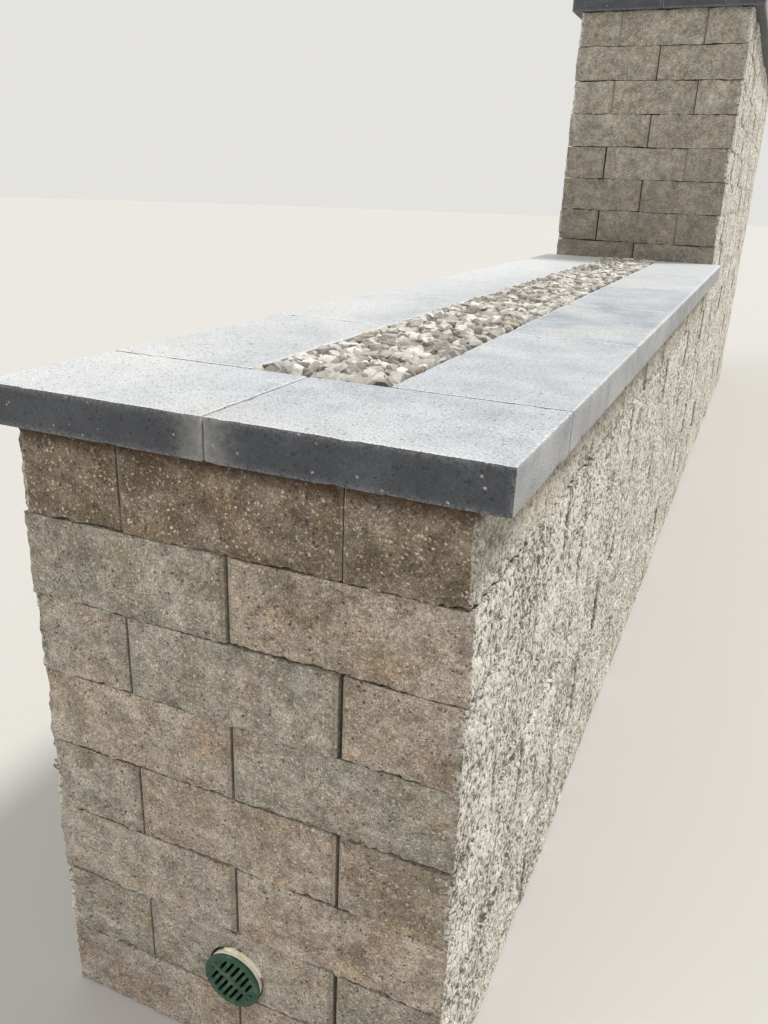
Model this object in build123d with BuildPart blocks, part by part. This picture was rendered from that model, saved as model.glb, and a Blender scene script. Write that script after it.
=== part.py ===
from build123d import *
import math
import os

# A stepped planter of split-face concrete blocks, laid dry in half bond and capped with
# concrete slabs. Two long faces and an end face enclose a narrow bed filled with gravel.
# The near tier is the lower one. Where the ground rises, the next tier stands twice as high.
# X runs across the planter, Y from the near end to the far end, and Z up.
# The origin is the middle of the footprint, on the ground.

# The block and its bond
block_length = 400
block_height = 152.4
wall_depth = 200
joint_chamfer = 6
shortest_block = 60

# The two tiers
wall_width = 800
lower_length = 3800
lower_courses = 8
upper_length = 4000
upper_courses = 16

# The capping slabs
cap_width = 310
end_slab_depth = 320
cap_thickness = 70
side_overhang = 45
end_overhang = 20
front_joint_offset = 18
left_slab_length = 620
left_run_slabs = 6
right_slab_length = 675
right_run_slabs = 5
slab_joint = 3
slab_arris = 3

# The gravel lies a little below the top of the caps
gravel_drop = 10

# The drain through the near wall: a plastic pipe with a round grate pushed into its end
drain_offset = 5.5
drain_height = 201
pipe_diameter = 114
pipe_wall = 4
pipe_projection = 10
hole_diameter = 120
grate_diameter = 118
grate_thickness = 5
grate_arris = 1
grate_turn = 31
spigot_length = 25
spigot_wall = 3
spigot_clearance = 0.3
slot_width = 6
slot_pitch = 12.5
slot_margin = 2
rib_width = 11
hub_diameter = 17

near_face = -(lower_length + upper_length) / 2
step_face = near_face + lower_length
far_face = step_face + upper_length
lower_top = lower_courses * block_height
upper_top = upper_courses * block_height

parts = {}


def keep(name, piece):
    """Name a finished piece, to be written out at the end."""
    piece.part.label = name
    parts[name] = piece.part


def joint_places(start, stop):
    """Head joints of one course, a block apart, with no last piece too short to lay."""
    count = math.floor((stop - start - shortest_block) / block_length)
    return [start + block_length * (number + 1) for number in range(count)]


def course_outline(start, stop, start_turns, stop_turns):
    """Plan of one course. Its face is on y = 0, notched by the chamfers of each head joint.

    Where the end of the course turns the corner, the end's inner edge is chamfered too,
    because it shows as a joint on the next face.
    """
    c = joint_chamfer
    points = [(start, c), (start + c, 0)]
    for joint in joint_places(start, stop):
        points += [(joint - c, 0), (joint, c), (joint + c, 0)]
    points += [(stop - c, 0), (stop, c)]
    if stop_turns:
        points += [(stop, wall_depth - c), (stop - c, wall_depth)]
    else:
        points += [(stop, wall_depth)]
    if start_turns:
        points += [(start + c, wall_depth), (start, wall_depth - c)]
    else:
        points += [(start, wall_depth)]
    return points


def lay_wall(face, courses, outline_of):
    """Lay courses one on another. The face plane has its X along the wall and its Y inwards."""
    with BuildPart() as wall:
        for course in range(courses):
            from_top = courses - 1 - course
            with BuildSketch(face.offset(course * block_height)):
                with BuildLine():
                    Polyline(*outline_of(from_top), close=True)
                make_face()
            extrude(amount=block_height)
    return wall


def sides_run_through(from_top):
    """The top course and each second one below it have the long walls showing on the end."""
    return from_top % 2 == 0


def end_wall_outline(from_top):
    """An end wall fits between the long walls, or laps over them at both corners."""
    if sides_run_through(from_top):
        return course_outline(wall_depth, wall_width - wall_depth, False, False)
    return course_outline(0, wall_width, True, True)


def lower_side_outline(from_top):
    """A lower long wall is bonded at the near corner and butts the end of the upper tier."""
    if sides_run_through(from_top):
        return course_outline(0, lower_length, True, False)
    return course_outline(wall_depth, lower_length, False, False)


def upper_side_outline(from_top):
    """An upper long wall is bonded at both corners."""
    if sides_run_through(from_top):
        return course_outline(0, upper_length, True, True)
    return course_outline(wall_depth, upper_length - wall_depth, False, False)


def mirrored(piece):
    """The same piece on the other side of the planter."""
    with BuildPart() as other_side:
        mirror(piece.part, about=Plane.YZ)
    return other_side


# Lower tier: the end wall with the round hole for the drain, and the two long walls
near_end = Plane(origin=(-wall_width / 2, near_face, 0), x_dir=(1, 0, 0), z_dir=(0, 0, 1))
drain_axis = Plane(origin=(-drain_offset, near_face, drain_height), x_dir=(1, 0, 0), z_dir=(0, -1, 0))
hole_rise = (hole_diameter - pipe_diameter) / 2

with BuildPart() as lower_front_wall:
    add(lay_wall(near_end, lower_courses, end_wall_outline))
    with BuildSketch(drain_axis):
        with Locations((0, hole_rise)):
            Circle(hole_diameter / 2)
    extrude(amount=-wall_depth, mode=Mode.SUBTRACT)
keep("lower_front_wall", lower_front_wall)

lower_right_face = Plane(origin=(wall_width / 2, near_face, 0), x_dir=(0, 1, 0), z_dir=(0, 0, 1))
lower_right_wall = lay_wall(lower_right_face, lower_courses, lower_side_outline)
keep("lower_right_wall", lower_right_wall)
keep("lower_left_wall", mirrored(lower_right_wall))

# Upper tier: two end walls and two long walls, all bonded at the corners
upper_near_end = Plane(origin=(-wall_width / 2, step_face, 0), x_dir=(1, 0, 0), z_dir=(0, 0, 1))
keep("upper_front_wall", lay_wall(upper_near_end, upper_courses, end_wall_outline))

upper_far_end = Plane(origin=(wall_width / 2, far_face, 0), x_dir=(-1, 0, 0), z_dir=(0, 0, 1))
keep("upper_back_wall", lay_wall(upper_far_end, upper_courses, end_wall_outline))

upper_right_face = Plane(origin=(wall_width / 2, step_face, 0), x_dir=(0, 1, 0), z_dir=(0, 0, 1))
upper_right_wall = lay_wall(upper_right_face, upper_courses, upper_side_outline)
keep("upper_right_wall", upper_right_wall)
keep("upper_left_wall", mirrored(upper_right_wall))

# Capping slabs: they overhang the faces and leave a channel between the two long runs
cap_edge = wall_width / 2 + side_overhang
channel_edge = cap_edge - cap_width
end_slab_reach = end_slab_depth - end_overhang


def cap_slab(x_low, x_high, y_low, y_high, bed):
    """One slab with its top arris eased."""
    with BuildPart() as slab:
        with BuildSketch(Plane.XY.offset(bed)):
            with Locations(((x_low + x_high) / 2, (y_low + y_high) / 2)):
                Rectangle(x_high - x_low, y_high - y_low)
        extrude(amount=cap_thickness)
        top = slab.faces().sort_by(Axis.Z)[-1]
        chamfer(top.edges(), length=slab_arris)
    return slab


def slab_joints(start, stop, slab_length, slabs):
    """Full slabs from the near end, and two equal cut ones to finish the run."""
    places = [start + slab_length * number for number in range(slabs - 1)]
    return places + [(places[-1] + stop) / 2, stop]


def lay_end_caps(name, outer, inner, bed):
    """Two slabs across an end of the planter, with their joint a little off the middle."""
    low, high = min(outer, inner), max(outer, inner)
    half_joint = slab_joint / 2
    keep(name + "_left", cap_slab(-cap_edge, -front_joint_offset - half_joint, low, high, bed))
    keep(name + "_right", cap_slab(-front_joint_offset + half_joint, cap_edge, low, high, bed))


def lay_side_caps(name, x_low, x_high, joints, bed):
    """A run of slabs on a long wall, with a thin open joint before each one."""
    for number in range(len(joints) - 1):
        slab = cap_slab(x_low, x_high, joints[number] + slab_joint, joints[number + 1], bed)
        keep(f"{name}_{number + 1}", slab)


lay_end_caps("lower_cap_front", near_face - end_overhang, near_face + end_slab_reach, lower_top)
lower_run = (near_face + end_slab_reach, step_face)
lower_left_joints = slab_joints(*lower_run, left_slab_length, left_run_slabs)
lower_right_joints = slab_joints(*lower_run, right_slab_length, right_run_slabs)
lay_side_caps("lower_cap_left", -cap_edge, -channel_edge, lower_left_joints, lower_top)
lay_side_caps("lower_cap_right", channel_edge, cap_edge, lower_right_joints, lower_top)

lay_end_caps("upper_cap_front", step_face - end_overhang, step_face + end_slab_reach, upper_top)
upper_run = (step_face + end_slab_reach, far_face - end_slab_reach - slab_joint)
upper_left_joints = slab_joints(*upper_run, left_slab_length, left_run_slabs)
upper_right_joints = slab_joints(*upper_run, right_slab_length, right_run_slabs)
lay_side_caps("upper_cap_left", -cap_edge, -channel_edge, upper_left_joints, upper_top)
lay_side_caps("upper_cap_right", channel_edge, cap_edge, upper_right_joints, upper_top)
lay_end_caps("upper_cap_back", far_face + end_overhang, far_face - end_slab_reach, upper_top)


def gravel_fill(cavity_start, cavity_stop, channel_start, channel_stop, top):
    """Gravel fills the cavity from the ground and rises into the channel between the caps."""
    with BuildPart() as gravel:
        with BuildSketch(Plane.XY):
            with Locations((0, (cavity_start + cavity_stop) / 2)):
                Rectangle(wall_width - 2 * wall_depth, cavity_stop - cavity_start)
        extrude(amount=top)
        with BuildSketch(Plane.XY.offset(top)):
            with Locations((0, (channel_start + channel_stop) / 2)):
                Rectangle(2 * channel_edge, channel_stop - channel_start)
        extrude(amount=cap_thickness - gravel_drop)
    return gravel


keep("lower_gravel", gravel_fill(near_face + wall_depth, step_face, *lower_run, lower_top))
upper_cavity = (step_face + wall_depth, far_face - wall_depth)
upper_channel = (step_face + end_slab_reach, far_face - end_slab_reach)
keep("upper_gravel", gravel_fill(*upper_cavity, *upper_channel, upper_top))

# Drain pipe: it lies on the bottom of the hole and stands a little proud of the wall
with BuildPart() as drain_pipe:
    with BuildSketch(drain_axis.offset(pipe_projection)):
        Circle(pipe_diameter / 2)
        Circle(pipe_diameter / 2 - pipe_wall, mode=Mode.SUBTRACT)
    extrude(amount=-(wall_depth + pipe_projection))
keep("drain_pipe", drain_pipe)

# Drain grate: a flat disc with two rows of slots either side of a rib, a hub at the middle of
# the rib, and a spigot that plugs into the pipe
turn = math.radians(grate_turn)
rib_direction = (math.cos(turn), 0, -math.sin(turn))
pipe_end = drain_axis.offset(pipe_projection)
grate_plane = Plane(origin=pipe_end.origin, x_dir=rib_direction, z_dir=drain_axis.z_dir)
spigot_radius = pipe_diameter / 2 - pipe_wall - spigot_clearance
bore_radius = spigot_radius - spigot_wall
slot_reach = bore_radius - slot_margin
slots_each_side = math.floor((slot_reach - slot_width / 2) / slot_pitch + 0.5)

with BuildPart() as drain_grate:
    with BuildSketch(grate_plane):
        Circle(grate_diameter / 2)
    extrude(amount=grate_thickness)
    chamfer(drain_grate.edges().sort_by(Axis.Y)[0], length=grate_arris)
    with BuildSketch(grate_plane):
        Circle(spigot_radius)
        Circle(bore_radius, mode=Mode.SUBTRACT)
    extrude(amount=-spigot_length)
    with BuildSketch(grate_plane):
        for number in range(-slots_each_side, slots_each_side):
            across = (number + 0.5) * slot_pitch
            reach = math.sqrt(slot_reach**2 - (abs(across) + slot_width / 2) ** 2)
            slot_length = reach - rib_width / 2
            middle = (reach + rib_width / 2) / 2
            with Locations((across, middle), (across, -middle)):
                Rectangle(slot_width, slot_length)
        Circle(hub_diameter / 2, mode=Mode.SUBTRACT)
    extrude(amount=grate_thickness, mode=Mode.SUBTRACT)
keep("drain_grate", drain_grate)

os.makedirs("parts", exist_ok=True)
for part_name, solid in parts.items():
    export_step(solid, f"parts/{part_name}.step")
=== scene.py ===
import bmesh
import bpy
import math
import random
from mathutils import Matrix, Vector
import numpy as np


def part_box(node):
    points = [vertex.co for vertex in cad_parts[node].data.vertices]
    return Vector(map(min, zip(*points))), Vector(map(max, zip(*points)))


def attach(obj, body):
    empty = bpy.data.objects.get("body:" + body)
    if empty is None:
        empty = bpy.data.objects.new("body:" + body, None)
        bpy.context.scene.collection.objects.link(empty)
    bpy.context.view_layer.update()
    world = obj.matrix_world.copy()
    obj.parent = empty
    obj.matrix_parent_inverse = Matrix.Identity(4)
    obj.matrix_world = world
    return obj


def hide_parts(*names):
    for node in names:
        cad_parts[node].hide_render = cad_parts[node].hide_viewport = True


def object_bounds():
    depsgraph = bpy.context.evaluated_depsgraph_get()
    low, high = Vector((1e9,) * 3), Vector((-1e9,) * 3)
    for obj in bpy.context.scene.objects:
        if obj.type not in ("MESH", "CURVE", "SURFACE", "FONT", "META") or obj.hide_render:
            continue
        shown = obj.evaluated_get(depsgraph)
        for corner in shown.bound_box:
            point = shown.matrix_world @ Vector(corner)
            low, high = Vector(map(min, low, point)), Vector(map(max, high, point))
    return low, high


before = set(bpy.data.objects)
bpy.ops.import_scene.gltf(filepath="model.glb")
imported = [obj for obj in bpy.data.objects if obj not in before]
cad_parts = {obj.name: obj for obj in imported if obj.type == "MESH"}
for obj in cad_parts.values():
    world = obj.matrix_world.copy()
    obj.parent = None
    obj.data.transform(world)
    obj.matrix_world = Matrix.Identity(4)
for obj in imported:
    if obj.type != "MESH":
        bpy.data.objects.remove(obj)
cad_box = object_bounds()

# The viewpoint. The camera stands by the near end of the planter, a little to its right, and looks
# down along it from chest height, slightly rolled. It is a plain wide lens, and its place is given
# from the near face.
near_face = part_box("lower_front_wall")[0][1]
camera_place = (0.6865, near_face - 0.9978, 1.6039)
camera_pitch, camera_roll, camera_heading = 69.05, -2.10, 23.89
bpy.ops.object.camera_add(
    location=camera_place,
    rotation=(math.radians(camera_pitch), math.radians(camera_roll), math.radians(camera_heading)),
)
camera = bpy.context.object
camera.name = "viewpoint"
camera.data.sensor_width = 36.0
camera.data.lens = 30.0
camera.data.clip_end = 200.0
bpy.context.scene.camera = camera
bpy.context.scene.view_settings.view_transform = "Standard"


# The studio. A wide matt floor in pale grey, a pale sky that is brighter overhead and fills the
# shade, and a soft key light from behind on the right, where the sun stands over the real planter.
# A very broad, weak light from the front stands for the open side of the sky.
def colour(hex_code):
    """Linear RGBA of an sRGB hex colour."""
    channels = [int(hex_code[start:start + 2], 16) / 255 for start in (1, 3, 5)]
    linear = [c / 12.92 if c <= 0.04045 else ((c + 0.055) / 1.055) ** 2.4 for c in channels]
    return (*linear, 1.0)


def add_node(tree, kind, settings, inputs):
    """Adds one node with its settings, and sets or links its inputs by name or number."""
    node = tree.nodes.new(kind)
    for name, value in settings.items():
        setattr(node, name, value)
    for name, value in inputs.items():
        if isinstance(value, bpy.types.NodeSocket):
            tree.links.new(value, node.inputs[name])
        else:
            node.inputs[name].default_value = value
    return node


def new_material(name):
    """A new material and its node tree, which is empty."""
    material = bpy.data.materials.new(name)
    material.use_nodes = True
    material.node_tree.nodes.clear()
    return material, material.node_tree


def finish_material(tree, body, roughness, specular=0.5, relief=None):
    """Adds a material's shader. Its relief is a height, a depth in metres and a strength."""
    inputs = {"Base Color": body, "Roughness": roughness, "Specular IOR Level": specular}
    if relief:
        height, depth, strength = relief
        bump = add_node(
            tree, "ShaderNodeBump", {}, {"Height": height, "Distance": depth, "Strength": strength}
        )
        inputs["Normal"] = bump.outputs[0]
    shader = add_node(tree, "ShaderNodeBsdfPrincipled", {}, inputs)
    add_node(tree, "ShaderNodeOutputMaterial", {}, {"Surface": shader.outputs[0]})


floor_radius = 60.0
floor_drop = 0.001
ground = cad_box[0][2]
bpy.ops.object.select_all(action="DESELECT")
bpy.ops.mesh.primitive_circle_add(
    vertices=128, radius=floor_radius, fill_type="NGON", location=(0, 0, ground - floor_drop)
)
floor = bpy.context.object
floor.name = "studio_floor"
floor_paint, tree = new_material("matt_floor_paint")
finish_material(tree, colour("#bfbcb6"), 0.9)
floor.data.materials.append(floor_paint)

horizon_fill = 0.34
zenith_fill = 0.84
world = bpy.data.worlds.new("pale_sky")
bpy.context.scene.world = world
world.use_nodes = True
tree = world.node_tree
tree.nodes.clear()
direction = add_node(tree, "ShaderNodeTexCoord", {}, {}).outputs["Generated"]
direction_parts = add_node(tree, "ShaderNodeSeparateXYZ", {}, {0: direction})
overhead = add_node(
    tree, "ShaderNodeMapRange", {},
    {
        "Value": direction_parts.outputs[2], "From Min": 0.0, "From Max": 1.0,
        "To Min": horizon_fill, "To Max": zenith_fill,
    },
).outputs[0]
sky_fill = add_node(
    tree, "ShaderNodeBackground", {}, {"Color": (1, 1, 1, 1), "Strength": overhead},
)
backdrop = add_node(tree, "ShaderNodeBackground", {}, {"Color": colour("#e4e3e0"), "Strength": 1.0})
rays = add_node(tree, "ShaderNodeLightPath", {}, {})
seen = add_node(
    tree, "ShaderNodeMath", {"operation": "MAXIMUM"},
    {0: rays.outputs["Is Camera Ray"], 1: rays.outputs["Is Glossy Ray"]},
)
sky = add_node(
    tree, "ShaderNodeMixShader", {},
    {0: seen.outputs[0], 1: sky_fill.outputs[0], 2: backdrop.outputs[0]},
)
add_node(tree, "ShaderNodeOutputWorld", {}, {"Surface": sky.outputs[0]})

for name, shines_from, breadth, strength in (
    ("key_light", Vector((0.39, 0.30, 0.87)), 9, 2.7),
    ("open_sky_light", Vector((-0.50, -0.65, 0.57)), 50, 0.85),
):
    bpy.ops.object.light_add(type="SUN", location=shines_from * 10)
    light = bpy.context.object
    light.name = name
    light.rotation_euler = shines_from.to_track_quat("Z", "Y").to_euler()
    light.data.angle = math.radians(breadth)
    light.data.energy = strength


# Split-face blocks. The walls are solid concrete blocks, 400 by 200 by 152 mm, pressed in pairs and
# split apart, so that each face is a rough fracture. They are laid dry in half bond, and the block
# at each corner has a second split face on its end.
block_length = 0.400
block_height = 0.1524
wall_depth = 0.200
head_gap = 0.0016
bed_gap = 0.0023
strip_width = 0.011
strip_blend = 0.007
shortest_block = 0.060
arris_chamfer = 0.0024
corner_wear = 0.80
strip_wear = 0.35
relief_span = 0.018
end_unevenness = 0.0025
side_unevenness = 0.0040
touching = 1e-5


def deselect():
    bpy.ops.object.select_all(action="DESELECT")


def make_active(piece):
    """Selects one piece alone and makes it the active one."""
    deselect()
    piece.select_set(True)
    bpy.context.view_layer.objects.active = piece


def slice_edges(piece, axis, count):
    """In edit mode, cuts all the edges along one axis into equal lengths, slicing the box."""
    bpy.ops.mesh.select_mode(type="EDGE")
    bpy.ops.mesh.select_all(action="DESELECT")
    cage = bmesh.from_edit_mesh(piece.data)
    for edge in cage.edges:
        along = edge.verts[1].co - edge.verts[0].co
        if abs(along[axis]) > 0.9 * along.length:
            edge.select_set(True)
    bmesh.update_edit_mesh(piece.data)
    if count > 1:
        bpy.ops.mesh.subdivide(number_cuts=count - 1)


def merge_side(piece, axis, place):
    """In edit mode, turns the cells of one flat side into a single face."""
    bpy.ops.mesh.select_mode(type="FACE")
    bpy.ops.mesh.select_all(action="DESELECT")
    cage = bmesh.from_edit_mesh(piece.data)
    for face in cage.faces:
        if all(abs(corner.co[axis] - place) < touching for corner in face.verts):
            face.select_set(True)
    bmesh.update_edit_mesh(piece.data)
    bpy.ops.mesh.dissolve_faces()


def new_box(name, low, high):
    """A box between two corners, with its object at the origin."""
    deselect()
    centre = [(a + b) / 2 for a, b in zip(low, high)]
    size = [b - a for a, b in zip(low, high)]
    bpy.ops.mesh.primitive_cube_add(size=1, location=centre, scale=size)
    bpy.ops.object.transform_apply(location=True, rotation=True, scale=True)
    box = bpy.context.object
    box.name = name
    return box


def smooth_step(value):
    """Eases a value from 0 to 1."""
    value = min(max(value, 0.0), 1.0)
    return value * value * (3 - 2 * value)


def model_block(length, cell, turned_start, turned_stop):
    """One block with its long face on y = 0, its other faces behind, and x along the wall.

    The split faces are cut into cells, a turned end being split too. Vertex groups say where the
    face is rough, where its arrises are ragged, and where its upright edges are chamfered.
    """
    low = (head_gap / 2, 0, bed_gap / 2)
    high = (length - head_gap / 2, wall_depth, block_height - bed_gap / 2)
    if turned_start:
        low = (0, low[1], low[2])
    if turned_stop:
        high = (length, high[1], high[2])
    if turned_start or turned_stop:
        high = (high[0], wall_depth - head_gap / 2, high[2])
    block = new_box("block", low, high)
    bpy.ops.object.mode_set(mode="EDIT")
    slice_edges(block, 0, round(length / cell))
    slice_edges(block, 2, round(block_height / cell))
    if turned_start or turned_stop:
        slice_edges(block, 1, round(wall_depth / cell))
        merge_side(block, 2, low[2])
        merge_side(block, 2, high[2])
        if not turned_start:
            merge_side(block, 0, low[0])
        if not turned_stop:
            merge_side(block, 0, high[0])
    merge_side(block, 1, high[1])
    bpy.ops.object.mode_set(mode="OBJECT")

    rough = block.vertex_groups.new(name="rough")
    ragged = block.vertex_groups.new(name="ragged")
    chamfered = block.vertex_groups.new(name="chamfered")
    tints = [(0, 0, 0, 1)] * len(block.data.vertices)
    for vertex in block.data.vertices:
        x, y, z = vertex.co
        on_face = y < touching
        on_start = turned_start and x < low[0] + touching
        on_stop = turned_stop and x > high[0] - touching
        if not (on_face or on_start or on_stop):
            continue
        to_joint = 1.0
        if on_face and not turned_start:
            to_joint = min(to_joint, x - low[0])
        if on_face and not turned_stop:
            to_joint = min(to_joint, high[0] - x)
        if on_start or on_stop:
            to_joint = min(to_joint, high[1] - y)
        roughness = smooth_step((to_joint - strip_width + strip_blend) / strip_blend)
        rough.add([vertex.index], roughness, "REPLACE")
        to_bed = min(z - low[2], high[2] - z)
        at_bed = 1.0 - min(to_bed / (1.5 * cell), 1.0)
        at_corner = 0.0
        for meets_corner, to_corner in (
            (on_start or on_stop, y),
            (on_face and turned_start, x - low[0]),
            (on_face and turned_stop, high[0] - x),
        ):
            if meets_corner:
                at_corner = max(at_corner, corner_wear - to_corner / (2 * cell))
        at_bed *= strip_wear + (1 - strip_wear) * roughness
        ragged.add([vertex.index], max(at_bed, at_corner), "REPLACE")
        if to_joint < touching:
            chamfered.add([vertex.index], 1.0, "REPLACE")
        on_end = (on_start or on_stop) and not on_face
        tints[vertex.index] = (0, float(on_end), 1.0 - roughness, 0.5)
    tone = block.data.attributes.new("tone", "FLOAT_COLOR", "POINT")
    tone.data.foreach_set("color", np.array(tints, dtype=float).ravel())

    corners = np.empty(len(block.data.loops), dtype=np.int32)
    block.data.loops.foreach_get("vertex_index", corners)
    places = np.empty(len(block.data.vertices) * 3)
    block.data.vertices.foreach_get("co", places)
    places = places.reshape(-1, 3)[corners]
    turn = -1 if turned_start else 1 if turned_stop else 0
    unrolled = np.stack([places[:, 0] + turn * places[:, 1], places[:, 2]], axis=1)
    face_map = block.data.uv_layers.active or block.data.uv_layers.new()
    face_map.name = "face_map"
    face_map.data.foreach_set("uv", unrolled.ravel())
    return block


block_masters = {}


def block_copy(length, cell, turned_start, turned_stop):
    """A copy of a block with its own mesh. Each kind of block is modelled once."""
    kind = (round(length, 4), cell, turned_start, turned_stop)
    if kind not in block_masters:
        block_masters[kind] = model_block(length, cell, turned_start, turned_stop)
    block = block_masters[kind].copy()
    block.data = block_masters[kind].data.copy()
    bpy.context.collection.objects.link(block)
    return block


def course_joints(start, stop):
    """The ends of the blocks of one course, from its near end, as the solid wall is notched."""
    count = math.floor((stop - start - shortest_block) / block_length)
    return [start] + [start + block_length * (number + 1) for number in range(count)] + [stop]


def split_texture(name, size, depth, basis):
    """Cloud noise with lumps of a real size. The modifier doubles the map, so the size is too."""
    texture = bpy.data.textures.new(name, "CLOUDS")
    texture.noise_scale = 2 * size
    texture.noise_depth = depth
    texture.noise_basis = basis
    return texture


swell_texture = split_texture("split_swell", 0.110, 1, "BLENDER_ORIGINAL")
facet_texture = split_texture("split_facets", 0.028, 3, "VORONOI_F2_F1")
grain_texture = split_texture("split_grain", 0.012, 2, "BLENDER_ORIGINAL")
arris_texture = split_texture("broken_arris", 0.018, 2, "BLENDER_ORIGINAL")


def displace(piece, texture, strength, middle, group):
    """Moves the vertices of a group along their normals by a texture, for good."""
    modifier = piece.modifiers.new("relief", "DISPLACE")
    modifier.texture = texture
    modifier.texture_coords = "UV"
    modifier.uv_layer = "face_map"
    modifier.strength = strength
    modifier.mid_level = middle
    modifier.vertex_group = group
    bpy.ops.object.modifier_apply(modifier=modifier.name)


def draw_tones(lower, from_top, draw):
    """The tone of one block on its end and on its side, from 0 for brown to 1 for pale grey.

    The course right under the near cap is the darkest and brownest. The taller tier is greyer and
    more even than the lower one. Sides are paler, as painted sunlight.
    """
    end_range = (0.50, 0.74)
    if lower:
        end_range = (0.08, 0.18) if from_top == 0 else (0.24, 0.60)
    return draw.uniform(*end_range), draw.uniform(0.80, 1.00)


def crumble(wall, relief):
    """Gives the split faces of joined blocks their relief, and notes how proud each spot is."""
    data = wall.data
    flat = np.empty(len(data.vertices) * 3)
    data.vertices.foreach_get("co", flat)
    outwards = np.empty(len(data.vertices) * 3, dtype=np.float32)
    data.vertices.foreach_get("normal", outwards)
    swell, facets, grain, arris = relief
    make_active(wall)
    displace(wall, swell_texture, swell, 0.30, "rough")
    displace(wall, facet_texture, facets, 0.30, "rough")
    displace(wall, grain_texture, grain, 0.50, "rough")
    displace(wall, arris_texture, -arris, 0.22, "ragged")
    chamfer = wall.modifiers.new("chamfer", "DISPLACE")
    chamfer.strength = -arris_chamfer
    chamfer.mid_level = 0
    chamfer.vertex_group = "chamfered"
    bpy.ops.object.modifier_apply(modifier=chamfer.name)
    data = wall.data
    broken = np.empty(len(data.vertices) * 3)
    data.vertices.foreach_get("co", broken)
    broken[2::3] = np.maximum(broken[2::3], ground)
    data.vertices.foreach_set("co", broken)
    moved = ((broken - flat).reshape(-1, 3) * outwards.reshape(-1, 3)).sum(axis=1)
    tint = np.empty(len(data.vertices) * 4)
    data.attributes["tone"].data.foreach_get("color", tint)
    tint = tint.reshape(-1, 4)
    tint[:, 3] = np.clip(0.5 + moved / relief_span, 0, 1)
    data.attributes["tone"].data.foreach_set("color", tint.ravel())
    bpy.ops.object.shade_smooth_by_angle(angle=math.radians(50))


def lay_blocks(name, corner, turn, length, courses, cell, turned, kind, bays):
    """Lays the blocks of one wall, and joins them in bays along it and up it.

    The wall starts at a corner point and runs at a turn about Z. An end wall lies between the long
    walls on the top course and each second one below it, and a long wall does so on the others.
    A reversed wall has its half bond set out from its other end.
    """
    draw = random.Random(name)
    near_turned, far_turned = turned
    end_wall = kind == "end"
    reversed_run = kind == "reversed side"
    bays_along, bays_up = bays
    laid = {}
    for course in range(courses):
        from_top = courses - 1 - course
        sides_through = from_top % 2 == 0
        through = sides_through != end_wall
        start, stop = 0.0, length
        if not through:
            start = wall_depth if near_turned else 0.0
            stop = length - wall_depth if far_turned else length
        joints = course_joints(start, stop)
        for number in range(len(joints) - 1):
            first, last = joints[number], joints[number + 1]
            turned_start = through and near_turned and number == 0
            turned_stop = through and far_turned and number == len(joints) - 2
            if reversed_run:
                first, last = length - last, length - first
                turned_start, turned_stop = turned_stop, turned_start
            block = block_copy(last - first, cell, turned_start, turned_stop)
            data = block.data
            spread = np.empty(len(data.loops) * 2)
            data.uv_layers["face_map"].data.foreach_get("uv", spread)
            spread = spread.reshape(-1, 2) + (draw.uniform(0, 40), draw.uniform(0, 40))
            data.uv_layers["face_map"].data.foreach_set("uv", spread.ravel())
            tint = np.empty(len(data.vertices) * 4)
            data.attributes["tone"].data.foreach_get("color", tint)
            tint = tint.reshape(-1, 4)
            end_tone, side_tone = draw_tones(name.startswith("lower"), from_top, draw)
            face_tone, turned_tone = (end_tone, side_tone) if end_wall else (side_tone, end_tone)
            on_end = tint[:, 1] > 0.5
            tint[:, 0] = np.where(on_end, turned_tone, face_tone)
            tint[:, 1] = on_end if end_wall else ~on_end
            data.attributes["tone"].data.foreach_set("color", tint.ravel())
            unevenness = end_unevenness if end_wall else side_unevenness
            proud = draw.uniform(-unevenness, unevenness)
            data.transform(
                Matrix.Translation(corner)
                @ Matrix.Rotation(turn, 4, "Z")
                @ Matrix.Translation((first, -proud, course * block_height))
            )
            bay = (
                int((first + last) / 2 / length * bays_along),
                int((course + 0.5) / courses * bays_up),
            )
            laid.setdefault(bay, []).append(block)
    pieces = []
    for bay in sorted(laid):
        deselect()
        for block in laid[bay]:
            block.select_set(True)
        bpy.context.view_layer.objects.active = laid[bay][0]
        bpy.ops.object.join()
        piece = bpy.context.object
        piece.name = name + "_" + str(len(pieces) + 1)
        crumble(piece, end_relief if end_wall else side_relief)
        pieces.append(piece)
    return pieces


lower_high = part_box("lower_right_wall")[1]
upper_low, upper_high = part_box("upper_right_wall")
wall_width = 2 * lower_high[0]
right_face, left_face = wall_width / 2, -wall_width / 2
step_face = upper_low[1]
far_face = upper_high[1]
lower_length = step_face - near_face
upper_length = far_face - step_face
wall_top = lower_high[2]
lower_courses = round((wall_top - ground) / block_height)
upper_courses = round((upper_high[2] - ground) / block_height)

quarter = math.pi / 2
near_end_cell = 0.0055
lower_right_cell = 0.0090
lower_left_cell = 0.0125
upper_end_cell = 0.0120
upper_side_cell = 0.0150
end_relief = (0.010, 0.0092, 0.0036, 0.0045)
side_relief = (0.010, 0.015, 0.0090, 0.005)
walls = {}
walls["lower_front_wall"] = lay_blocks(
    "lower_front_blocks", Vector((left_face, near_face, ground)), 0, wall_width,
    lower_courses, near_end_cell, (True, True), "end", (1, 1),
)
walls["lower_right_wall"] = lay_blocks(
    "lower_right_blocks", Vector((right_face, near_face, ground)), quarter, lower_length,
    lower_courses, lower_right_cell, (True, False), "side", (3, 1),
)
walls["lower_left_wall"] = lay_blocks(
    "lower_left_blocks", Vector((left_face, step_face, ground)), -quarter, lower_length,
    lower_courses, lower_left_cell, (True, False), "reversed side", (3, 1),
)
walls["upper_front_wall"] = lay_blocks(
    "upper_front_blocks", Vector((left_face, step_face, ground)), 0, wall_width,
    upper_courses, upper_end_cell, (True, True), "end", (1, 2),
)
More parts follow.
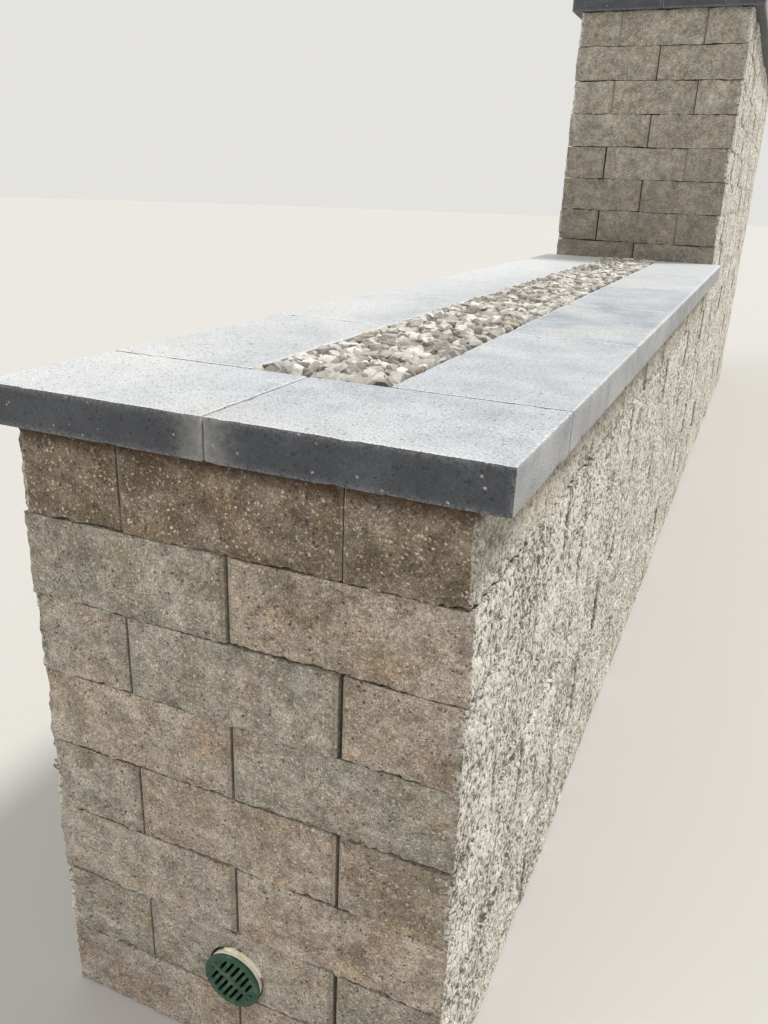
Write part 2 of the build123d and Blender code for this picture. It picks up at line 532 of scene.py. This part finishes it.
walls["upper_back_wall"] = lay_blocks(
    "upper_back_blocks", Vector((right_face, far_face, ground)), 2 * quarter, wall_width,
    upper_courses, upper_end_cell, (True, True), "end", (1, 3),
)
walls["upper_right_wall"] = lay_blocks(
    "upper_right_blocks", Vector((right_face, step_face, ground)), quarter, upper_length,
    upper_courses, upper_side_cell, (True, True), "side", (3, 2),
)
walls["upper_left_wall"] = lay_blocks(
    "upper_left_blocks", Vector((left_face, far_face, ground)), -quarter, upper_length,
    upper_courses, upper_side_cell, (True, True), "reversed side", (3, 2),
)
for master in block_masters.values():
    bpy.data.objects.remove(master)

# The round hole for the drain is drilled through the near wall, a little larger than the pipe.
pipe_low, pipe_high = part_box("drain_pipe")
pipe_radius = (pipe_high[0] - pipe_low[0]) / 2
hole_clearance = 0.003
hole_radius = pipe_radius + hole_clearance
pipe_x = (pipe_low[0] + pipe_high[0]) / 2
hole_centre = (pipe_x, near_face + wall_depth / 2, pipe_low[2] + hole_radius)
deselect()
bpy.ops.mesh.primitive_cylinder_add(
    vertices=96, radius=hole_radius, depth=3 * wall_depth, location=hole_centre,
    rotation=(quarter, 0, 0),
)
core_drill = bpy.context.object
near_wall = walls["lower_front_wall"][0]
make_active(near_wall)
drilled = near_wall.modifiers.new("drain_hole", "BOOLEAN")
drilled.object = core_drill
drilled.operation = "DIFFERENCE"
drilled.solver = "EXACT"
bpy.ops.object.modifier_apply(modifier=drilled.name)
bpy.data.objects.remove(core_drill)


def layers(tree, vector, *kinds):
    """The uneven layers of a finish. Each is noise with a size in metres, a detail and a roughness."""
    laid = []
    for size, detail, roughness in kinds:
        layer = add_node(
            tree, "ShaderNodeTexNoise", {},
            {"Vector": vector, "Scale": 1 / size, "Detail": detail, "Roughness": roughness},
        )
        laid.append(layer.outputs[0])
    return laid


def mask(tree, *parts):
    """How much of a mark shows, from 0 to 1: the product of its parts.

    A part is a value, or a value with the two ends between which it fades in.
    """
    shown = None
    for part in parts:
        if isinstance(part, tuple):
            value, start, end = part
            part = add_node(
                tree, "ShaderNodeMapRange", {"interpolation_type": "SMOOTHSTEP"},
                {"Value": value, "From Min": start, "From Max": end},
            ).outputs[0]
        if shown is not None:
            part = add_node(
                tree, "ShaderNodeMath", {"operation": "MULTIPLY"}, {0: shown, 1: part}
            ).outputs[0]
        shown = part
    return shown


def tinted(tree, body, tint, *parts):
    """Mixes a colour into the body where the mark with these parts shows."""
    mixed = add_node(
        tree, "ShaderNodeMix", {"data_type": "RGBA"},
        {0: mask(tree, *parts), 6: body, 7: colour(tint) if isinstance(tint, str) else tint},
    )
    return mixed.outputs[2]


def lightened(tree, body, part, low, high):
    """Multiplies a colour by low to high as a part goes from 0 to 1."""
    factor = add_node(
        tree, "ShaderNodeMapRange", {}, {"Value": mask(tree, part), "To Min": low, "To Max": high}
    ).outputs[0]
    scaled = add_node(
        tree, "ShaderNodeVectorMath", {"operation": "SCALE"}, {0: body, "Scale": factor}
    )
    return scaled.outputs[0]


def weighed(tree, start, *terms):
    """A start value plus each of the terms, which are values with their weights."""
    total = start
    for value, weight in terms:
        total = add_node(
            tree, "ShaderNodeMath", {"operation": "MULTIPLY_ADD"}, {0: value, 1: weight, 2: total}
        ).outputs[0]
    return total


def warped(tree, vector, size, reach):
    """Coordinates pushed about by noise, which breaks up round and straight shapes."""
    push = add_node(
        tree, "ShaderNodeTexNoise", {}, {"Vector": vector, "Scale": 1 / size, "Detail": 1.0}
    )
    centred = add_node(
        tree, "ShaderNodeVectorMath", {"operation": "SUBTRACT"},
        {0: push.outputs["Color"], 1: (0.5, 0.5, 0.5)},
    )
    scaled = add_node(
        tree, "ShaderNodeVectorMath", {"operation": "SCALE"},
        {0: centred.outputs[0], "Scale": 2 * reach},
    )
    moved = add_node(
        tree, "ShaderNodeVectorMath", {"operation": "ADD"}, {0: vector, 1: scaled.outputs[0]}
    )
    return moved.outputs[0]


def aggregate(tree, vector, size):
    """Broken grains of a real size in metres: a random value for each, and 0 to 1 from its rim."""
    cells = add_node(tree, "ShaderNodeTexVoronoi", {}, {"Vector": vector, "Scale": 1 / size})
    pick = add_node(tree, "ShaderNodeSeparateColor", {}, {0: cells.outputs["Color"]})
    return pick.outputs[0], mask(tree, (cells.outputs["Distance"], 0.54, 0.28))


# Split-face concrete, pigmented in the mix. The eye reads a dry, grainy fracture: soft drifts of
# brown, olive and tan, broken cream chips and small pits a few millimetres across whose darkness is
# painted shade, and a chalky bloom. On the sides, cream painted highlights on the proud grains and
# grey-green painted shade in the hollows stand for grazing sunlight.
block_concrete, tree = new_material("split_face_concrete")
face_map = add_node(tree, "ShaderNodeUVMap", {"uv_map": "face_map"}, {}).outputs[0]
place = add_node(tree, "ShaderNodeTexCoord", {}, {}).outputs["Object"]
across, along, up = add_node(tree, "ShaderNodeSeparateXYZ", {}, {0: place}).outputs
tone = add_node(tree, "ShaderNodeAttribute", {"attribute_name": "tone"}, {})
tone_parts = add_node(tree, "ShaderNodeSeparateColor", {}, {0: tone.outputs["Color"]})
shade_of_block, on_side, in_strip = tone_parts.outputs
proud = tone.outputs["Alpha"]
drift, patches, mottle, crowd, bloom = layers(
    tree, face_map,
    (0.13, 4.0, 0.60), (0.10, 4.0, 0.70), (0.045, 4.0, 0.65), (0.050, 2.0, 0.50), (0.075, 6.0, 0.75),
)
lumps, grit, streaks, side_grain, zones = layers(
    tree, place,
    (0.013, 5.0, 0.68), (0.0024, 2.0, 0.60), (0.030, 4.0, 0.60), (0.013, 4.0, 0.70), (0.17, 3.0, 0.60),
)

pigments = [
    (0.00, "#6e6150"),
    (0.12, "#827462"),
    (0.24, "#978a79"),
    (0.36, "#afa192"),
    (0.48, "#afa698"),
    (0.60, "#9a9385"),
    (0.72, "#a9a294"),
    (0.86, "#c4bbac"),
    (1.00, "#cfc7b8"),
]
shade = weighed(tree, -0.30, (shade_of_block, 1.0), (drift, 0.60))
pigment_ramp = add_node(tree, "ShaderNodeValToRGB", {}, {0: shade})
ramp = pigment_ramp.color_ramp
ramp.elements.remove(ramp.elements[1])
ramp.elements[0].color = colour(pigments[0][1])
for stop, pigment in pigments[1:]:
    ramp.elements.new(stop).color = colour(pigment)
body = pigment_ramp.outputs[0]
for start, end, cast in ((0.50, 0.66, "#fff6eb"), (0.50, 0.34, "#f8fbfc")):
    body = add_node(
        tree, "ShaderNodeMix", {"data_type": "RGBA", "blend_type": "MULTIPLY"},
        {0: mask(tree, (patches, start, end)), 6: body, 7: colour(cast)},
    ).outputs[2]
# Lumps is also the bump's height, so lightening by it is painted shade in the bumps' hollows as well
# as grain.
for layer, low, high in ((mottle, 0.80, 1.26), (lumps, 0.86, 1.13), (grit, 0.68, 1.34)):
    body = lightened(tree, body, (layer, 0.34, 0.66), low, high)
crumbled = warped(tree, warped(tree, place, 0.0060, 0.0030), 0.0022, 0.0012)
fine_pick, fine_rim = aggregate(tree, crumbled, 0.0030)
coarse_pick, coarse_rim = aggregate(tree, crumbled, 0.0056)
pale = mask(tree, (coarse_pick, 0.83, 0.93), coarse_rim, (crowd, 0.28, 0.52))
# The dark grains are pits, sunk by the bump below; their near-black colour is painted shade.
dark = mask(tree, (coarse_pick, 0.12, 0.05), coarse_rim)
body = lightened(tree, body, fine_pick, 0.72, 1.28)
body = tinted(tree, body, "#ded2bb", (fine_pick, 0.88, 0.95), fine_rim, 0.70)
body = tinted(tree, body, "#e6dac3", pale, 0.85)
body = tinted(tree, body, "#37322a", dark, 0.72)
body = tinted(tree, body, "#ccc8be", (bloom, 0.54, 0.70), 0.36)

# A dark rusty band under the near cap: partly a rust stain that water has drawn out, partly painted
# shade under the cap's overhang.
stain_and_shade_line = weighed(tree, 0.0, (up, 1.0), (streaks, 0.030))
body = tinted(
    tree, body, "#402a16", (stain_and_shade_line, wall_top - 0.022, wall_top + 0.010),
    (along, near_face + 0.040, near_face + 0.020), 0.72,
)

# The taller tier's near face is painted darker towards its foot, just above the cap below it.
body = tinted(
    tree, body, "#57534a", (up, wall_top + 1.05, wall_top + 0.05),
    (along, step_face - 0.05, step_face - 0.02), (along, step_face + 0.05, step_face + 0.02), 0.42,
)

# The sides get painted sunlight: cream painted highlights on the proud grains and grey-green painted
# shade in the hollows, as under a grazing sun. The top course of the lower tier lies in its cap's
# shadow, so these marks are weaker there.
painted_sun_height = weighed(
    tree, 0.0,
    (side_grain, 1.0), (proud, 0.22), (zones, 0.14), (fine_pick, 0.16), (coarse_pick, 0.08),
)
in_cap_shadow = mask(
    tree, (up, wall_top - 0.17, wall_top - 0.11), (along, step_face + 0.02, step_face - 0.02), 0.62
)
sunlit_side = mask(tree, on_side, weighed(tree, 1.0, (in_cap_shadow, -1.0)))
body = tinted(tree, body, "#fff9ec", (painted_sun_height, 0.765, 0.830), sunlit_side, 0.95)
body = tinted(tree, body, "#5f5f54", (painted_sun_height, 0.765, 0.685), sunlit_side, 0.84)
# Painted shade: the set-back parts of the split faces are darker and the proud ones lighter.
body = lightened(tree, body, (proud, 0.10, 0.90), 0.88, 1.12)
body = tinted(tree, body, "#878073", in_strip, 0.40)

height = weighed(tree, 0.0, (lumps, 1.0), (pale, 0.12), (dark, -0.12))
height = mask(tree, height, weighed(tree, 1.0, (on_side, 0.80)))
height = weighed(tree, 0.0, (height, 1.0), (grit, 0.14))
height = mask(tree, height, weighed(tree, 1.0, (in_strip, -0.80)))
finish_material(tree, body, 0.92, 0.3, (height, 0.0088, 1.0))

for node_name, pieces in walls.items():
    for wall in pieces:
        wall.data.materials.clear()
        wall.data.materials.append(block_concrete)
        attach(wall, "root")
        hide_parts(node_name)


# Cap slabs. Every wall is capped with cast slabs of charcoal concrete, 70 mm thick, glued down on
# the top course so that they stand 45 mm proud of it. Their arrises are lightly worn and chipped.
# Their tops are paler than their edges, partly from lime bloom and dust and partly as painted
# sunlight, with a painted sheen towards the left and towards the step.
slab_cell = 0.0115
near_slab_cell = 0.0062
slab_arris = 0.0022
fully_worn = 0.001
worn_band = 0.008
chip_depth = 0.0046
wear_depth = 0.0012
chip_texture = bpy.data.textures.new("chipped_arris", "CLOUDS")
chip_texture.noise_scale = 0.040
chip_texture.noise_depth = 2
chip_texture.contrast = 3.0
chip_texture.intensity = 0.22
chip_texture.use_clamp = True
wear_texture = bpy.data.textures.new("worn_arris", "CLOUDS")
wear_texture.noise_scale = 0.022
wear_texture.noise_depth = 1


def merge_inside(piece, axis, place, low, high):
    """In edit mode, merges the cells of one flat side into one face, apart from its border."""
    bpy.ops.mesh.select_mode(type="FACE")
    bpy.ops.mesh.select_all(action="DESELECT")
    cage = bmesh.from_edit_mesh(piece.data)
    across = [number for number in range(3) if number != axis]
    for face in cage.faces:
        on_side = all(abs(corner.co[axis] - place) < touching for corner in face.verts)
        within = all(
            low[number] + touching < corner.co[number] < high[number] - touching
            for corner in face.verts
            for number in across
        )
        if on_side and within:
            face.select_set(True)
    bmesh.update_edit_mesh(piece.data)
    bpy.ops.mesh.dissolve_faces()


def model_slab(name, low, high, cell):
    """One cap slab between two corners, with its arrises eased, worn and chipped here and there."""
    slab = new_box(name, low, high)
    bpy.ops.object.mode_set(mode="EDIT")
    for axis in range(3):
        slice_edges(slab, axis, round((high[axis] - low[axis]) / cell))
    merge_inside(slab, 2, low[2], low, high)
    merge_inside(slab, 2, high[2], low, high)
    bpy.ops.object.mode_set(mode="OBJECT")
    easing = slab.modifiers.new("eased_arris", "BEVEL")
    easing.width = slab_arris
    easing.segments = 2
    easing.limit_method = "ANGLE"
    easing.angle_limit = math.radians(60)
    bpy.ops.object.modifier_apply(modifier=easing.name)
    arris = slab.vertex_groups.new(name="arris")
    wear = []
    for vertex in slab.data.vertices:
        depths = sorted(min(vertex.co[a] - low[a], high[a] - vertex.co[a]) for a in range(3))
        closeness = min(max(1.0 - (depths[1] - fully_worn) / worn_band, 0.0), 1.0)
        wear.append(closeness)
        arris.add([vertex.index], closeness, "REPLACE")
    shade = random.Random(name).random()
    tone = slab.data.attributes.new("tone", "FLOAT_COLOR", "POINT")
    # The tone's second channel marks the worn arrises, which the material paints paler, partly as a
    # painted highlight.
    tone.data.foreach_set("color", np.array([(shade, closeness, 0, 1) for closeness in wear]).ravel())
    for texture, depth in ((chip_texture, chip_depth), (wear_texture, wear_depth)):
        modifier = slab.modifiers.new("wear", "DISPLACE")
        modifier.texture = texture
        modifier.texture_coords = "LOCAL"
        modifier.strength = -depth
        modifier.mid_level = 0
        modifier.vertex_group = "arris"
        bpy.ops.object.modifier_apply(modifier=modifier.name)
    bpy.ops.object.shade_smooth_by_angle(angle=math.radians(35))
    return slab


# Charcoal concrete, cast smooth. The eye reads a dense dark grey on the edges, with fine pits whose
# darkness is painted shade and pale flecks of sand. The flanks are mid grey as painted sunlight, and
# the top is a bluish grey, bleached in clouds and paler still as painted sunlight.
slab_concrete, tree = new_material("charcoal_cast_concrete")
place = add_node(tree, "ShaderNodeTexCoord", {}, {}).outputs["Object"]
across, along, up = add_node(tree, "ShaderNodeSeparateXYZ", {}, {0: place}).outputs
facing = add_node(tree, "ShaderNodeNewGeometry", {}, {}).outputs["Normal"]
facing_parts = add_node(tree, "ShaderNodeSeparateXYZ", {}, {0: facing})
sideways = add_node(
    tree, "ShaderNodeMath", {"operation": "ABSOLUTE"}, {0: facing_parts.outputs[0]}
).outputs[0]
on_top = mask(tree, (facing_parts.outputs[2], 0.55, 0.85))
tone = add_node(tree, "ShaderNodeAttribute", {"attribute_name": "tone"}, {})
tone_parts = add_node(tree, "ShaderNodeSeparateColor", {}, {0: tone.outputs["Color"]})
shade_of_slab, at_arris = tone_parts.outputs[0], tone_parts.outputs[1]
cloudy, broad, fine, ragged_edge = layers(
    tree, place, (0.10, 4.0, 0.60), (0.42, 2.0, 0.50), (0.0038, 4.0, 0.75), (0.020, 6.0, 0.80)
)
# The edges keep the concrete's own dark grey; the flanks are painted paler as sunlight, and the top is
# paler from bloom and as painted sunlight.
edge_tone = tinted(tree, colour("#3a3d43"), "#55585d", (cloudy, 0.40, 0.85))
sunlit_flank_tone = tinted(tree, colour("#8b8c8e"), "#acacab", (cloudy, 0.30, 0.70))
sunlit_bloomed_top = tinted(tree, colour("#8e949b"), "#aeb3b8", (cloudy, 0.28, 0.72))
sunlit_bloomed_top = tinted(tree, sunlit_bloomed_top, "#c9c8c2", (broad, 0.48, 0.72), 0.60)
sunlit_bloomed_top = tinted(tree, sunlit_bloomed_top, "#a3a8b0", shade_of_slab, 0.20)
# Painted sheen: the tops are lighter towards the left and towards the step, where they are seen at a
# grazing angle and reflect the sky.
sunlit_bloomed_top = tinted(tree, sunlit_bloomed_top, "#cfcfcb", (across, 0.05, left_face), 0.62)
sunlit_bloomed_top = tinted(
    tree, sunlit_bloomed_top, "#d3d4d2", (along, step_face - 2.6, step_face - 0.4),
    (up, wall_top + 0.5, wall_top + 0.2), 0.62,
)
body = tinted(tree, edge_tone, sunlit_flank_tone, (sideways, 0.5, 0.8))
body = tinted(tree, body, sunlit_bloomed_top, on_top)
body = lightened(tree, body, (fine, 0.32, 0.68), 0.70, 1.28)
pick, rim = aggregate(tree, warped(tree, place, 0.005, 0.0022), 0.0052)
pits = mask(tree, (pick, 0.090, 0.045), rim)
# Painted shade: the pits are painted nearly black.
body = tinted(tree, body, "#232426", pits, 0.78)
body = tinted(tree, body, "#cfcdc6", (pick, 0.982, 0.993), rim, 0.55)

# Mortar dust has dried pale round the joint in the middle of the near end.
joint_x = (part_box("lower_cap_front_left")[1][0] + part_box("lower_cap_front_right")[0][0]) / 2
from_joint = add_node(
    tree, "ShaderNodeMath", {"operation": "ABSOLUTE"}, {0: weighed(tree, -joint_x, (across, 1.0))}
).outputs[0]
dust_edge = weighed(tree, 0.0, (from_joint, 1.0), (ragged_edge, 0.140))
body = tinted(
    tree, body, "#a09d97", (dust_edge, 0.140, 0.060),
    (along, near_face + 0.16, near_face - 0.02), 0.54,
)

# Worn arrises are paler, and on top brighter still as a painted highlight where the arris catches the
# sun.
body = tinted(
    tree, body, "#e2e2e0", at_arris, (fine, 0.35, 0.60), weighed(tree, 0.20, (on_top, 0.66))
)
pitted = weighed(tree, 0.0, (fine, 1.0), (pits, -1.2))
finish_material(tree, body, 0.54, 0.5, (pitted, 0.0018, 0.7))

for node_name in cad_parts:
    if "_cap_" in node_name:
        near_slab = node_name.startswith("lower_cap_front") or node_name == "lower_cap_right_1"
        cell = near_slab_cell if near_slab else slab_cell
        slab = model_slab(node_name + "_slab", *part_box(node_name), cell)
        slab.data.materials.append(slab_concrete)
        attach(slab, "root")
        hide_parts(node_name)


# Gravel. The channel between the caps is filled with crushed limestone, mostly 15 to 45 mm, tipped in
# loose and levelled by hand until it is about flush with the slabs.
stone_kinds = 9
broken_faces = 3
corner_reach = (0.46, 0.74)
face_reach = (0.30, 0.42)
lopsided = 0.50
shortest_edge = 0.07
stone_length = (1.00, 1.50)
stone_height = (0.55, 0.90)
stone_size, stone_spread = 0.028, 0.30
smallest_stone, largest_stone = 0.015, 0.050
fines_drop = 0.011
stone_layers = ((-0.012, 1.00), (0.004, 0.70))
layer_spread = 0.0060
bay_overlap = 0.008
over_slabs = 0.006
dark_below = 0.009
dark_span = 0.016


def random_direction(draw):
    """A direction drawn evenly over the sphere."""
    height = draw.uniform(-1, 1)
    turn = draw.uniform(0, math.tau)
    across = math.sqrt(1 - height * height)
    return Vector((across * math.cos(turn), across * math.sin(turn), height))


def model_stone(number):
    """One angular stone about 1 across, a block with its corners and some faces broken off."""
    draw = random.Random("stone " + str(number))
    stone = new_box("stone", (-0.5, -0.5, -0.5), (0.5, 0.5, 0.5))
    bpy.ops.object.mode_set(mode="EDIT")
    cuts = []
    for corner in range(8):
        towards = Vector([1 if corner & bit else -1 for bit in (1, 2, 4)]).normalized()
        cuts.append((towards + lopsided * random_direction(draw), draw.uniform(*corner_reach)))
    for face in range(broken_faces):
        cuts.append((random_direction(draw), draw.uniform(*face_reach)))
    for towards, reach in cuts:
        towards = towards.normalized()
        bpy.ops.mesh.select_all(action="SELECT")
        bpy.ops.mesh.bisect(
            plane_co=towards * reach, plane_no=towards, use_fill=True, clear_outer=True,
        )
    bpy.ops.mesh.select_all(action="SELECT")
    bpy.ops.mesh.remove_doubles(threshold=shortest_edge)
    bpy.ops.mesh.normals_make_consistent(inside=False)
    bpy.ops.object.mode_set(mode="OBJECT")
    return stone


def settle(stone, low, high):
    """Moves one stone by as much as it stands out of a box."""
    push = Vector((0, 0, 0))
    for axis in range(3):
        reach = [vertex.co[axis] for vertex in stone.data.vertices]
        push[axis] = max(low[axis] - min(reach), 0) - max(max(reach) - high[axis], 0)
    stone.data.transform(Matrix.Translation(push))


def pour_gravel(name, low, high, pitch, rim):
    """One bay of stones over its bed of fines, each stone with its own size, turn and tone."""
    draw = random.Random(name)
    bed = new_box("bed", low, (high[0], high[1], high[2] - fines_drop))
    bed.data.materials.append(fines)
    poured = [bed]
    columns = round((high[0] - low[0]) / pitch)
    rows = round((high[1] - low[1]) / pitch)
    for above_fill, share in stone_layers:
        for row in range(rows):
            for column in range(columns):
                by_slab = column in (0, columns - 1) or row in (0, rows - 1)
                if draw.random() > share and not by_slab:
                    continue
                size = draw.lognormvariate(math.log(stone_size), stone_spread)
                size = min(max(size, smallest_stone), largest_stone)
                x = low[0] + (column + draw.random()) * (high[0] - low[0]) / columns
                y = low[1] + (row + draw.random()) * (high[1] - low[1]) / rows
                stone = stone_masters[draw.randrange(stone_kinds)].copy()
                stone.data = stone.data.copy()
                squat = Matrix.Diagonal(
                    (size * draw.uniform(*stone_length), size, size * draw.uniform(*stone_height), 1)
                )
                tumble = Matrix.Rotation(draw.uniform(0, math.tau), 4, random_direction(draw))
                z = high[2] + above_fill + draw.gauss(0, layer_spread)
                stone.data.transform(Matrix.Translation((x, y, z)) @ tumble @ squat)
                settle(
                    stone, (low[0], low[1] - bay_overlap, low[2]),
                    (high[0], high[1] + bay_overlap, rim + over_slabs),
                )
                tone = stone.data.attributes.new("tone", "FLOAT_COLOR", "POINT")
                grey, rusty = draw.random(), draw.random()
                tints = []
                # Each stone is painted darker low down, as painted shade between the stones.
                for vertex in stone.data.vertices:
                    painted_gap_shade = smooth_step((high[2] + dark_below - vertex.co.z) / dark_span)
                    tints.append((grey, rusty, painted_gap_shade, 1))
                tone.data.foreach_set("color", np.array(tints).ravel())
                bpy.context.collection.objects.link(stone)
                poured.append(stone)
    deselect()
    for stone in poured:
        stone.select_set(True)
    bpy.context.view_layer.objects.active = bed
    bpy.ops.object.join()
    bed.name = name
    return bed


# Crushed limestone, broken and not washed. The eye reads matt off-white to grey faces with stone
# dust on them, now and then a rusty one, and painted shade low down between the stones.
limestone, tree = new_material("crushed_limestone")
place = add_node(tree, "ShaderNodeTexCoord", {}, {}).outputs["Object"]
tone = add_node(tree, "ShaderNodeAttribute", {"attribute_name": "tone"}, {})
tone_parts = add_node(tree, "ShaderNodeSeparateColor", {}, {0: tone.outputs["Color"]})
grey, rusty, painted_gap_shade = tone_parts.outputs
dusty = layers(tree, place, (0.009, 4.0, 0.65))[0]
body = tinted(tree, colour("#7f7970"), "#dfdbd2", grey)
body = tinted(tree, body, "#a3957f", (rusty, 0.93, 0.98))
body = lightened(tree, body, (dusty, 0.30, 0.70), 0.80, 1.16)
# Painted shade: the low parts of the stones are painted nearly black.
body = tinted(tree, body, "#38332c", painted_gap_shade, 0.92)
finish_material(tree, body, 0.88, 0.35, (dusty, 0.0015, 0.5))

# The bed of fines under the stones is painted dark, as painted shade between the stones.
fines, tree = new_material("gravel_fines_in_painted_shade")
place = add_node(tree, "ShaderNodeTexCoord", {}, {}).outputs["Object"]
gritty = layers(tree, place, (0.006, 4.0, 0.70))[0]
body = tinted(tree, colour("#4a443b"), "#8a8275", (gritty, 0.30, 0.70))
finish_material(tree, body, 0.95, 0.2, (gritty, 0.004, 0.8))

stone_masters = [model_stone(number) for number in range(stone_kinds)]
for master in stone_masters:
    master.data.materials.append(limestone)
gravel_bays = 4
for tier, pitch in (("lower", 0.0250), ("upper", 0.0270)):
    bed_low, bed_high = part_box(tier + "_gravel")
    bed_low[0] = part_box(tier + "_cap_left_2")[1][0]
    bed_high[0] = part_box(tier + "_cap_right_2")[0][0]
    bed_low[1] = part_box(tier + "_cap_front_left")[1][1]
    bed_low[2], rim = [corner[2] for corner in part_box(tier + "_cap_front_left")]
    if tier == "upper":
        bed_high[1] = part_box("upper_cap_back_left")[0][1]
    bay_length = (bed_high[1] - bed_low[1]) / gravel_bays
    for number in range(gravel_bays):
        low = (bed_low[0], bed_low[1] + number * bay_length, bed_low[2])
        high = (bed_high[0], bed_low[1] + (number + 1) * bay_length, bed_high[2])
        name = tier + "_gravel_bay_" + str(number + 1)
        stones = pour_gravel(name, low, high, pitch, rim)
        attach(stones, "root")
        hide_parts(tier + "_gravel")
for master in stone_masters:
    bpy.data.objects.remove(master)


# Drain. A length of white plastic soil pipe runs out through the near wall, and a round green grate
# is pushed into its end. The grate is a polypropylene moulding with a matt, slightly dusty face.
def plastic(name, base, dust, roughness, share):
    """A moulded plastic with fine dust lying on it in drifts, and painted shade where it runs inside
    the wall.
    """
    material, tree = new_material(name)
    place = add_node(tree, "ShaderNodeTexCoord", {}, {}).outputs["Object"]
    along = add_node(tree, "ShaderNodeSeparateXYZ", {}, {0: place}).outputs[1]
    drifts, grain = layers(tree, place, (0.022, 5.0, 0.65), (0.0012, 2.0, 0.50))
    body = tinted(tree, colour(base), dust, (drifts, 0.40, 0.75), share)
    # Painted shade: the part inside the wall is painted nearly black.
    body = tinted(tree, body, "#221f1a", (along, near_face - 0.004, near_face + 0.008), 0.92)
    finish_material(tree, body, roughness, 0.5, (grain, 0.0003, 0.25))
    return material


for node_name, finish in (
    ("drain_grate", plastic("green_moulded_polypropylene", "#1d4835", "#73806f", 0.50, 0.58)),
    ("drain_pipe", plastic("white_pvc_pipe", "#f4f2ea", "#c9bfa8", 0.42, 0.30)),
):
    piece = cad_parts[node_name]
    piece.material_slots[0].link = "OBJECT"
    piece.material_slots[0].material = finish

# A bead of mounting foam fills the gap over the pipe. It has yellowed where the light reaches it.
bead_radius = 0.0045
bead_ends = ((-0.35, -1), (1.15, 1))
pipe_centre = (pipe_x, near_face, pipe_low[2] + pipe_radius)
deselect()
bpy.ops.mesh.primitive_torus_add(
    major_segments=96, minor_segments=10, major_radius=hole_radius, minor_radius=bead_radius,
    location=pipe_centre, rotation=(quarter, 0, 0),
)
foam = bpy.context.object
foam.name = "foam_bead"
bpy.ops.object.transform_apply(location=True, rotation=True, scale=True)
bpy.ops.object.mode_set(mode="EDIT")
for lean, side in bead_ends:
    bpy.ops.mesh.select_all(action="SELECT")
    bpy.ops.mesh.bisect(
        plane_co=pipe_centre, plane_no=(side * math.cos(lean), 0, -side * math.sin(lean)),
        use_fill=True, clear_outer=True,
    )
bpy.ops.object.mode_set(mode="OBJECT")
froth = bpy.data.textures.new("froth", "CLOUDS")
froth.noise_scale = 0.009
froth.noise_depth = 2
swelling = foam.modifiers.new("swelling", "DISPLACE")
swelling.texture = froth
swelling.texture_coords = "LOCAL"
swelling.strength = 0.006
swelling.mid_level = 0.45
bpy.ops.object.modifier_apply(modifier=swelling.name)
bpy.ops.object.shade_smooth()
foam_plastic, tree = new_material("yellowed_polyurethane_foam")
place = add_node(tree, "ShaderNodeTexCoord", {}, {}).outputs["Object"]
yellowing = layers(tree, place, (0.018, 3.0, 0.60))[0]
body = tinted(tree, colour("#efe9d6"), "#d9c88c", (yellowing, 0.35, 0.65))
finish_material(tree, body, 0.85)
foam.data.materials.append(foam_plastic)
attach(foam, "root")
